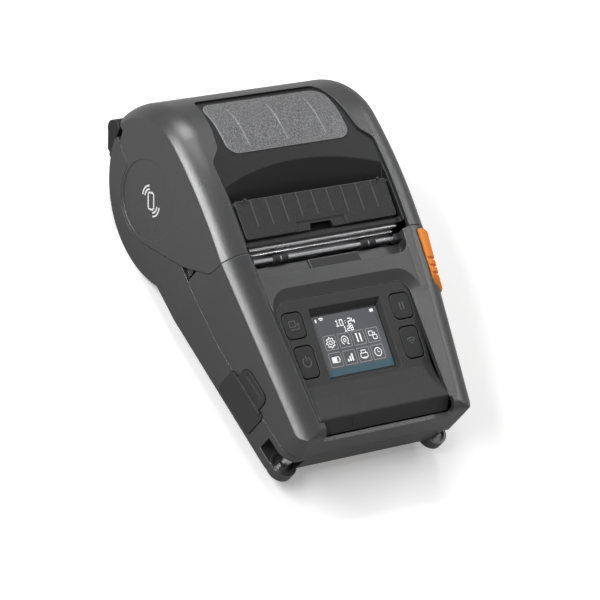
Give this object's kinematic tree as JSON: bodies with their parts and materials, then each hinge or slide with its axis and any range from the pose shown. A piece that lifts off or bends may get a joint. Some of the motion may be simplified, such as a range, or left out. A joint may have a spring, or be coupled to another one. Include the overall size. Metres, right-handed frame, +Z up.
{
  "type": "label printer",
  "caption": "Mobile label printer with a hinged media cover, smoky window, ribbed peel flap, sloping display with soft keys, side lever, port door and battery.",
  "frame": {"origin": "on the flat the printer rests on, under the middle of the case's width", "axes": "+Y towards the hinge end, +Z up, +X towards the lever side"},
  "size_m": [0.1178, 0.1782, 0.0655],
  "materials": {
    "case_plastic": "fine texture",
    "cover_plastic": "fine texture",
    "insert_plastic": "satin",
    "window_plastic": "smoky, speckled",
    "flap_plastic": "fine texture",
    "steel": "brushed",
    "roller_rubber": "ground",
    "gear_plastic": "moulded",
    "sink_metal": "as cast",
    "head_ceramic": "glazed",
    "motor_metal": "satin",
    "bezel_plastic": "satin",
    "screen_glass": "polished",
    "module_plastic": "smooth",
    "key_rubber": "satin",
    "lever_plastic": "satin",
    "board": "solder mask",
    "part_black": "moulded",
    "inner_plastic": "moulded",
    "door_rubber": "satin",
    "contact_metal": "plated",
    "battery_plastic": "fine texture",
    "plate_metal": "satin"
  },
  "bodies": {
    "base": {"base_shell": "case_plastic", "front_casing": "case_plastic", "step_motor": "motor_metal", "idler_pin": "steel", "head_bracket": "steel", "head_heatsink": "sink_metal", "print_head": "head_ceramic", "serrated_strip": "steel", "head_springs": "steel", "peel_brackets": "insert_plastic", "name_plate": "plate_metal", "display_bezel": "bezel_plastic", "lcd_glass": "screen_glass", "lcd_module": "module_plastic", "display_board": "board", "key_switches": "part_black", "port_frame": "inner_plastic", "usb_port": "steel", "power_jack": "part_black", "strap_pins": "steel", "battery_contacts": "contact_metal", "main_board": "board", "radio_module": "part_black", "buzzer": "part_black", "roll_tub": "inner_plastic", "pinion_pin": "steel", "media_sensor": "part_black", "hinge_bracket": "insert_plastic", "hinge_pin": "steel", "hinge_spring": "steel", "case_screws": "steel"},
    "cover": {"media_cover": "cover_plastic", "cover_insert": "insert_plastic", "media_window": "window_plastic", "tear_bar": "steel", "tag_antenna": "contact_metal", "platen_bearings": "inner_plastic"},
    "flap": {"peel_flap": "flap_plastic"},
    "platen": {"platen_roller": "roller_rubber", "platen_shaft": "steel", "platen_gear": "gear_plastic"},
    "idler": {"idler_gear": "gear_plastic"},
    "motor_shaft": {"motor_pinion": "contact_metal"},
    "peel_roller": {"peel_shaft": "steel", "peel_rollers": "roller_rubber"},
    "feed_button": {"feed_key": "key_rubber"},
    "power_button": {"power_key": "key_rubber"},
    "pause_button": {"pause_key": "key_rubber"},
    "pair_button": {"pair_key": "key_rubber"},
    "latch": {"open_lever": "lever_plastic", "latch_shaft": "steel", "latch_hook_left": "inner_plastic", "latch_hook_right": "inner_plastic"},
    "door": {"port_door": "door_rubber"},
    "battery": {"battery_pack": "battery_plastic"},
    "battery_catch": {"battery_latch": "lever_plastic"},
    "guide_left": {"roll_guide_left": "inner_plastic"},
    "guide_right": {"roll_guide_right": "inner_plastic"},
    "guide_wheel": {"guide_pinion": "gear_plastic"}
  },
  "joints": [
    {"name": "cover_hinge", "type": "hinge", "parent": "base", "child": "cover", "pos_m": [0, 0.0862, 0.0296], "axis": [-1, 0, 0], "range_deg": [0, 95]},
    {"name": "flap_hinge", "type": "hinge", "parent": "cover", "child": "flap", "pos_m": [0, 0.022, 0.0603], "axis": [-1, 0, 0], "range_deg": [0, 70]},
    {"name": "platen_spin", "type": "hinge", "parent": "cover", "child": "platen", "pos_m": [0, 0.0095, 0.0465], "axis": [1, 0, 0], "continuous": true},
    {"name": "idler_spin", "type": "hinge", "parent": "base", "child": "idler", "pos_m": [0, -0.00436, 0.0385], "axis": [1, 0, 0], "continuous": true},
    {"name": "motor_spin", "type": "hinge", "parent": "base", "child": "motor_shaft", "pos_m": [0, -0.01523, 0.03343], "axis": [1, 0, 0], "continuous": true},
    {"name": "peel_spin", "type": "hinge", "parent": "base", "child": "peel_roller", "pos_m": [0, -0.0022, 0.0509], "axis": [1, 0, 0], "continuous": true},
    {"name": "latch_swing", "type": "hinge", "parent": "base", "child": "latch", "pos_m": [0, -0.002, 0.0272], "axis": [1, 0, 0], "range_deg": [0, 8], "stiffness_Nm_per_rad": 0.6, "springref_deg": -2.86},
    {"name": "door_hinge", "type": "hinge", "parent": "base", "child": "door", "pos_m": [-0.05332, -0.05075, 0.0099], "axis": [0.1015, -0.9948, 0], "range_deg": [0, 100]},
    {"name": "battery_slide", "type": "slide", "parent": "base", "child": "battery", "axis": [0, 0, -1], "range_m": [0, 0.025]},
    {"name": "battery_catch_slide", "type": "slide", "parent": "base", "child": "battery_catch", "axis": [0, -1, 0], "range_m": [0, 0.002], "stiffness_N_per_m": 300, "springref_m": -0.001},
    {"name": "guide_left_slide", "type": "slide", "parent": "base", "child": "guide_left", "axis": [1, 0, 0], "range_m": [0, 0.027]},
    {"name": "guide_right_slide", "type": "slide", "parent": "base", "child": "guide_right", "axis": [-1, 0, 0], "range_m": [0, 0.027]},
    {"name": "guide_wheel_spin", "type": "hinge", "parent": "base", "child": "guide_wheel", "pos_m": [0, 0.0064, 0.0296], "axis": [0, 1, 0], "range_deg": [0, 388]},
    {"name": "feed_press", "type": "slide", "parent": "base", "child": "feed_button", "axis": [0, 0.2521, -0.9677], "range_m": [0, 0.0007], "stiffness_N_per_m": 900, "springref_m": -0.0003},
    {"name": "power_press", "type": "slide", "parent": "base", "child": "power_button", "axis": [0, 0.2521, -0.9677], "range_m": [0, 0.0007], "stiffness_N_per_m": 900, "springref_m": -0.0003},
    {"name": "pause_press", "type": "slide", "parent": "base", "child": "pause_button", "axis": [0, 0.2521, -0.9677], "range_m": [0, 0.0007], "stiffness_N_per_m": 900, "springref_m": -0.0003},
    {"name": "pair_press", "type": "slide", "parent": "base", "child": "pair_button", "axis": [0, 0.2521, -0.9677], "range_m": [0, 0.0007], "stiffness_N_per_m": 900, "springref_m": -0.0003}
  ],
  "couplings": [
    {"joint": "idler_spin", "follows": "platen_spin", "ratio": -1},
    {"joint": "motor_spin", "follows": "platen_spin", "ratio": 2},
    {"joint": "guide_right_slide", "follows": "guide_left_slide", "ratio": 1},
    {"joint": "guide_wheel_spin", "follows": "guide_left_slide", "rad_per_m": 250}
  ]
}
